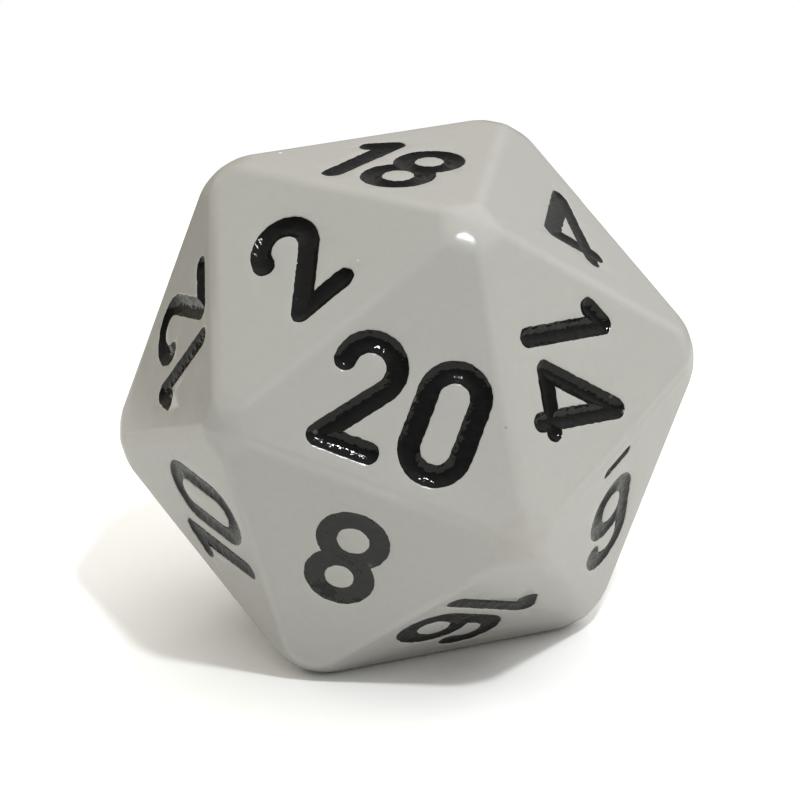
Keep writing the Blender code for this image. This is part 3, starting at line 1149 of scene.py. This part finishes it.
@dataclass
class MouldedBody:
    """The die's body: an icosahedron with rounded edges, worn corners and engraved numerals.

    Attributes:
        geometry: The sharp icosahedron.
        edge_radius: Round of the edges between faces.
        corner_radius: Round of the corners.
        steps: How many flats a rounded edge has.
        flat_share: A face with more than this share of a squared edge's area is one of the flats.
        flat_cuts: How many cuts each side of a third of a flat gets.
        roll_share: The share of its full width that a corner's round takes, so that two never meet.
        normal_weight: How strongly large faces lead in a point's normal, where 50 is neutral.
    """

    geometry: DieGeometry
    edge_radius: float = 1.0 * MM
    corner_radius: float = 2.2 * MM
    steps: int = 8
    flat_share: float = 0.1
    flat_cuts: int = 4
    roll_share: float = 0.985
    normal_weight: int = 80

    @property
    def edge_turn(self) -> float:
        """Angle between the normals of two neighbouring faces."""
        return math.acos(math.sqrt(5.0) / 3.0)

    @property
    def corner_turn(self) -> float:
        """Angle between a face's normal and the line through one of its corners."""
        return math.acos(self.geometry.rise / self.geometry.reach)

    def build(self, cutters: bpy.types.Collection) -> bpy.types.Object:
        """Models the body.

        Args:
            cutters: The cutters of all the grooves.

        Returns:
            The body, at its place.
        """
        obj = self.sharp()
        self.round(obj)
        self.divide_flats(obj)
        apply_modifier(
            obj, "BOOLEAN", operation="DIFFERENCE", solver="MANIFOLD",
            operand_type="COLLECTION", collection=cutters,
        )  # fmt: skip
        self.mark_rounding(obj)
        pick_only(obj)
        bpy.ops.object.shade_smooth()
        apply_modifier(obj, "WEIGHTED_NORMAL", mode="FACE_AREA", weight=self.normal_weight, keep_sharp=True)
        return obj

    def sharp(self) -> bpy.types.Object:
        """Adds the icosahedron and stands it on a face, with a corner of that face away from the 20.

        Returns:
            The icosahedron.
        """
        bpy.ops.object.select_all(action="DESELECT")
        bpy.ops.mesh.primitive_ico_sphere_add(subdivisions=1, radius=self.geometry.reach)
        obj = bpy.context.object
        obj.name = "moulded_body"
        first = obj.data.polygons[0]
        outward = first.center.normalized()
        towards_x = (first.center - obj.data.vertices[first.vertices[0]].co).normalized()
        turn = Matrix((towards_x, outward.cross(towards_x), outward)).to_4x4()
        obj.matrix_world = Matrix.Translation(self.geometry.centre) @ turn
        bpy.ops.object.transform_apply(location=True, rotation=True, scale=True)
        return obj

    def round(self, obj: bpy.types.Object) -> None:
        """Cuts the corners off and rounds all the edges, the cuts' own edges more than the rest.

        Args:
            obj: The sharp icosahedron.
        """
        turn = self.corner_turn
        depth = self.corner_radius * (1.0 / math.cos(turn) - 1.0)
        lean = math.asin(self.geometry.edge / (2.0 * self.geometry.reach))
        with edit_mode(obj):
            bpy.ops.mesh.select_all(action="SELECT")
            offset = depth / math.sin(lean)
            bpy.ops.mesh.bevel(offset_type="OFFSET", offset=offset, affect="VERTICES", segments=1)
        wide = self.corner_radius * math.tan(turn / 2.0) * self.roll_share
        narrow = self.edge_radius * math.tan(self.edge_turn / 2.0)
        weights = obj.data.attributes.new("bevel_weight_edge", "FLOAT", "EDGE")
        small = {edge for face in obj.data.polygons if len(face.vertices) == 5 for edge in face.edge_keys}
        for edge in obj.data.edges:
            weights.data[edge.index].value = 1.0 if edge.key in small else narrow / wide
        apply_modifier(
            obj, "BEVEL", width=wide, segments=self.steps, limit_method="WEIGHT", use_clamp_overlap=False
        )

    def divide_flats(self, obj: bpy.types.Object) -> None:
        """Cuts the twenty flats into small faces, so that each groove crosses simple outlines only.

        Args:
            obj: The rounded icosahedron.
        """
        with edit_mode(obj):
            bpy.ops.mesh.select_all(action="DESELECT")
        for polygon in obj.data.polygons:
            polygon.select = polygon.area > self.flat_share * self.geometry.edge**2
        bpy.ops.object.mode_set(mode="EDIT")
        bpy.ops.mesh.poke()
        bpy.ops.mesh.subdivide(number_cuts=self.flat_cuts)
        bpy.ops.object.mode_set(mode="OBJECT")

    def mark_rounding(self, obj: bpy.types.Object) -> None:
        """Writes how far each point is from the flat of its face, for the paler tone, partly wearing and
        partly a painted highlight, and the browner patches on edges and rims.

        Args:
            obj: The body.
        """
        outwards = [frame.to_3x3() @ Vector((0, 0, 1)) for frame in self.geometry.face_frames().values()]
        marks = obj.data.attributes.new("rounding", "FLOAT", "POINT")
        full = self.edge_radius * (1.0 - math.cos(self.edge_turn / 2.0))
        for vertex in obj.data.vertices:
            place = vertex.co - self.geometry.centre
            below = self.geometry.rise - max(place.dot(outward) for outward in outwards)
            marks.data[vertex.index].value = min(1.0, max(0.0, below / full))

    def dress(self, obj: bpy.types.Object, finish: bpy.types.Material) -> None:
        """Gives the body its finish and its place in the row.

        Args:
            obj: The body.
            finish: Its material.
        """
        obj.data.materials.clear()
        obj.data.materials.append(finish)
        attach(obj, "root")
        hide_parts(BODY_NODE)


@dataclass
class EnamelDigit:
    """One digit of a number: its groove's cutter and the enamel in it.

    Attributes:
        node: The name of the digit's node in the frame.
        number: The number that it belongs to.
        glyph: The digit, or "bar".
        face: The frame of its number's face.
        stroke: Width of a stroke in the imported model.
        lumps: How high the enamel's lumps are.
        lump_span: How wide they are.
        surface_depth: How far below the highest point the enamel's surface reaches.
        rim_margin: How far below that point it starts, so that the rim keeps its place.
        sharp_angle: Edges that turn by more than this, in degrees, stay sharp.
    """

    node: str
    number: int
    glyph: str
    face: Matrix
    stroke: float = STROKE
    lumps: float = 0.019 * MM
    lump_span: float = 0.27 * MM
    surface_depth: float = 0.3 * MM
    rim_margin: float = 0.002 * MM
    sharp_angle: float = 50.0

    def place(self, form: DigitForm) -> Matrix:
        """Finds the digit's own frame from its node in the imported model.

        Args:
            form: The digits' middle lines.

        Returns:
            The frame: x to the digit's right, y up and z out of the face.
        """
        back = self.face.inverted()
        points = [back @ vertex.co for vertex in frame["nodes"][self.node].data.vertices]
        low_x = min(point.x for point in points)
        low_y = min(point.y for point in points)
        level = [Vector((self.stroke / 2.0, 0.0))]
        drawn = [p for line in form.strokes(self.glyph) for row in line.rows(level, 1.0) for p in row]
        across = low_x - min(point.x for point in drawn)
        up = low_y - min(point.y for point in drawn)
        return self.face @ Matrix.Translation((across, up, 0.0))

    def seed(self) -> float:
        """A number of the digit's own, for its unevenness."""
        return self.number * 1.7 + sum(map(ord, self.node)) * 0.37

    def build(self, tools: DigitTools, cutters: bpy.types.Collection) -> bpy.types.Object:
        """Models the enamel, and adds the groove's cutter to the others.

        Args:
            tools: What makes digits.
            cutters: Where the cutter goes.

        Returns:
            The enamel, at its place.
        """
        filling = FILLINGS.get(self.number, Filling())
        where = self.place(tools.form)
        for cutter in tools.cutters(f"{self.node}_cutter", self.glyph, filling, self.seed()):
            self.settle(cutter, where)
            bpy.context.scene.collection.objects.unlink(cutter)
            cutters.objects.link(cutter)
        name = self.node.replace("numeral", "enamel")
        obj = tools.enamel(name, self.glyph, filling, self.seed())
        self.settle(obj, where)
        self.roughen(obj)
        return obj

    def settle(self, obj: bpy.types.Object, where: Matrix) -> None:
        """Puts an object at its place, and its place into its mesh."""
        pick_only(obj)
        obj.matrix_world = where
        bpy.ops.object.transform_apply(location=True, rotation=True, scale=True)

    def roughen(self, obj: bpy.types.Object) -> None:
        """Gives the enamel's surface the lumps that it dried with.

        Args:
            obj: The enamel.
        """
        outward = self.face.to_3x3() @ Vector((0, 0, 1))
        heights = [(vertex.co - self.face.translation).dot(outward) for vertex in obj.data.vertices]
        rim = max(heights)
        group = obj.vertex_groups.new(name="surface")
        for vertex, height in zip(obj.data.vertices, heights):
            if rim - self.surface_depth < height < rim - self.rim_margin:
                group.add([vertex.index], 1.0, "REPLACE")
        texture = bpy.data.textures.get("lumps") or bpy.data.textures.new("lumps", "CLOUDS")
        texture.noise_scale = self.lump_span
        texture.noise_depth = 2
        apply_modifier(
            obj, "DISPLACE", texture=texture, texture_coords="LOCAL", strength=2.0 * self.lumps,
            mid_level=0.5, vertex_group="surface",
        )  # fmt: skip
        pick_only(obj)
        bpy.ops.object.shade_smooth_by_angle(angle=math.radians(self.sharp_angle))
        obj.vertex_groups.clear()
        # How dull the enamel is; the same share greys it as a painted reflection.
        dull = FILLINGS.get(self.number, Filling()).level.dullness
        marks = obj.data.attributes.new("dullness", "FLOAT", "POINT")
        marks.data.foreach_set("value", [dull] * len(obj.data.vertices))

    def dress(self, obj: bpy.types.Object, finish: bpy.types.Material) -> None:
        """Gives the enamel its finish and its place in the row.

        Args:
            obj: The enamel.
            finish: Its material.
        """
        obj.data.materials.clear()
        obj.data.materials.append(finish)
        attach(obj, "root")
        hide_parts(self.node)


@dataclass
class Numerals:
    """All the numbers of the die.

    Attributes:
        geometry: The die's faces.
        stroke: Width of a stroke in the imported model.
    """

    geometry: DieGeometry
    stroke: float = STROKE

    def form(self) -> DigitForm:
        """Reads the digits' size from the 0 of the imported 20.

        Returns:
            The digits' middle lines.
        """
        back = self.geometry.face_frames()[20].inverted()
        points = [back @ vertex.co for vertex in frame["nodes"]["numeral_20_units"].data.vertices]
        height = max(p.y for p in points) - min(p.y for p in points)
        width = max(p.x for p in points) - min(p.x for p in points)
        return DigitForm(height=height, top=height - self.stroke, half=(width - self.stroke) / 2.0)

    def digits(self) -> list[EnamelDigit]:
        """Lists the digits.

        Returns:
            The digits and underlines of all twenty numbers.
        """
        frames = self.geometry.face_frames()
        found = []
        for node in sorted(frame["nodes"]):
            if node == BODY_NODE:
                continue
            parts = node.split("_")
            number = int(parts[1])
            last = parts[2] if len(parts) > 2 else "units"
            glyph = {"bar": "bar", "tens": str(number)[0], "units": str(number)[-1]}[last]
            found.append(EnamelDigit(node, number, glyph, frames[number], self.stroke))
        return found

    def build(self, cutters: bpy.types.Collection) -> list[tuple[EnamelDigit, bpy.types.Object]]:
        """Models every digit's enamel and cutter.

        Args:
            cutters: Where the cutters go.

        Returns:
            Each digit with its enamel.
        """
        tools = DigitTools(self.form())
        return [(digit, digit.build(tools, cutters)) for digit in self.digits()]


# The studio.


@dataclass(frozen=True)
class Softbox:
    """One lamp of the studio.

    Attributes:
        name: The lamp's name.
        azimuth: Its direction from the die in degrees, from -Y towards +X.
        elevation: Its height over the horizon in degrees.
        distance: How far it is from the die.
        size: Its diameter.
        power: Its power in watts.
        colour: The colour of its light.
    """

    name: str
    azimuth: float
    elevation: float
    distance: float
    size: float
    power: float
    colour: tuple[float, float, float] = (0.95, 0.99, 1.0)

    def build(self, target: Vector) -> bpy.types.Object:
        """Places the lamp.

        Args:
            target: The point that it shines at.

        Returns:
            The lamp.
        """
        lamp = bpy.data.lights.new(self.name, "AREA")
        lamp.shape = "DISK"
        lamp.size = self.size
        lamp.energy = self.power
        lamp.color = self.colour
        obj = bpy.data.objects.new(self.name, lamp)
        bpy.context.scene.collection.objects.link(obj)
        away = direction(self.azimuth, self.elevation)
        obj.location = target + away * self.distance
        obj.rotation_euler = away.to_track_quat("Z", "Y").to_euler()
        return obj


def direction(azimuth: float, elevation: float) -> Vector:
    """The direction of an azimuth, from -Y towards +X, and an elevation, both in degrees."""
    turn, rise = math.radians(azimuth), math.radians(elevation)
    return Vector((math.sin(turn) * math.cos(rise), -math.cos(turn) * math.cos(rise), math.sin(rise)))


@dataclass
class Studio:
    """The white card, the lamps and the pale surroundings.

    Attributes:
        lamps: The lamps.
        glows: The pale parts of the room: the direction of each and its colour.
        falloff: How fast a glow fades away from its direction.
        dimmest: Brightness of the room where nothing glows.
        mirrored: How bright the room is where the die's gloss mirrors it.
        card_size: Length of the card's sides.
    """

    lamps: tuple[Softbox, ...] = (Softbox("key_lamp", 33.0, 57.5, 0.60, 0.042, 1.70),)
    glows: tuple[tuple[Vector, Vector], ...] = (
        (Vector((0.0, 0.0, 1.0)), Vector((1.02, 1.02, 1.00))),
        (Vector((1.0, 1.0, 0.5)), Vector((1.22, 1.22, 1.27))),
        (Vector((-1.0, 1.0, 0.5)), Vector((0.80, 0.71, 0.54))),
        (Vector((1.0, 0.0, 0.3)), Vector((0.33, 0.30, 0.22))),
        (Vector((0.0, -1.0, 0.4)), Vector((0.30, 0.30, 0.30))),
    )
    falloff: float = 2.0
    dimmest: float = 0.06
    mirrored: float = 0.25
    card_size: float = 0.11

    def build(self, target: Vector) -> None:
        """Sets up the card, the lamps and the surroundings.

        Args:
            target: The middle of the die.
        """
        bpy.ops.object.select_all(action="DESELECT")
        bpy.ops.mesh.primitive_plane_add(size=self.card_size)
        card = bpy.context.object
        card.name = "white_card"
        card.data.materials.append(WhiteCard().material())
        for lamp in self.lamps:
            lamp.build(target)
        self.surroundings()

    def surroundings(self) -> None:
        """Makes the room: dark in front of the die, and pale behind it, beside it and overhead."""
        world = bpy.data.worlds.new("studio")
        bpy.context.scene.world = world
        world.use_nodes = True
        net = Net(world.node_tree)
        sky = world.node_tree.nodes["Background"]
        way = net.node("ShaderNodeTexCoord").outputs["Generated"]
        total = (self.dimmest,) * 3
        for towards, colour in self.glows:
            links = {0: way, 1: tuple(towards.normalized())}
            facing = net.node("ShaderNodeVectorMath", links, operation="DOT_PRODUCT").outputs["Value"]
            lit = net.math("POWER", net.math("MAXIMUM", facing, 0.0), self.falloff)
            links = {0: lit, 1: tuple(colour), 2: total}
            total = net.node("ShaderNodeVectorMath", links, operation="MULTIPLY_ADD").outputs[0]
        path = net.node("ShaderNodeLightPath")
        mirrored = net.blend(path.outputs["Is Glossy Ray"], (1.0,) * 4, (self.mirrored,) * 4)
        total = net.node("ShaderNodeVectorMath", {0: total, 1: mirrored}, operation="MULTIPLY").outputs[0]
        white = net.blend(path.outputs["Is Camera Ray"], total, (1.0, 1.0, 1.0, 1.0))
        net.tree.links.new(white, sky.inputs["Color"])


@dataclass(frozen=True)
class ViewCamera:
    """The camera.

    Attributes:
        azimuth: Its direction from the die in degrees, from -Y towards +X.
        elevation: Its height over the horizon in degrees.
        distance: How far it is from the point that it looks at.
        aim: The point that it looks at.
        roll: How far it is turned about its own axis, in degrees.
        lens: Its focal length in millimetres, on a sensor 36 mm wide.
    """

    azimuth: float = 7.2
    elevation: float = 20.45
    distance: float = 229.0 * MM
    aim: Vector = field(default_factory=lambda: Vector((-0.18, -0.1, 9.78)) * MM)
    roll: float = -1.5
    lens: float = 252.2

    def build(self) -> bpy.types.Object:
        """Places the camera and makes it the scene's own.

        Returns:
            The camera.
        """
        data = bpy.data.cameras.new("camera")
        data.lens = self.lens
        data.sensor_width = 36.0
        data.clip_start = 0.001
        data.clip_end = 50.0
        camera = bpy.data.objects.new("camera", data)
        bpy.context.scene.collection.objects.link(camera)
        away = direction(self.azimuth, self.elevation)
        tilt = Matrix.Rotation(math.radians(self.roll), 4, "Z")
        turn = away.to_track_quat("Z", "Y").to_matrix().to_4x4()
        camera.matrix_world = Matrix.Translation(self.aim + away * self.distance) @ turn @ tilt
        bpy.context.scene.camera = camera
        return camera


def main() -> None:
    """Builds the die and its studio, in order."""
    logging.basicConfig(level=logging.INFO, format="%(name)s: %(message)s")
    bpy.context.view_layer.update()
    low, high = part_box(BODY_NODE)
    geometry = DieGeometry(high.z - low.z)
    bpy.context.scene.view_settings.view_transform = "Standard"

    cutters = bpy.data.collections.new("groove_cutters")
    bpy.context.scene.collection.children.link(cutters)
    enamel = BlackEnamel().material()
    plastic = WarmGreyPlastic().material()

    digits = Numerals(geometry).build(cutters)
    body = MouldedBody(geometry)
    moulding = body.build(cutters)
    remove_all(list(cutters.objects))
    bpy.data.collections.remove(cutters)
    body.dress(moulding, plastic)
    log.info("%s: %d faces", moulding.name, len(moulding.data.polygons))
    for digit, piece in digits:
        digit.dress(piece, enamel)
        log.info("%s: %d faces", piece.name, len(piece.data.polygons))

    Studio().build(geometry.centre)
    ViewCamera().build()


if __name__ == "__main__":
    main()
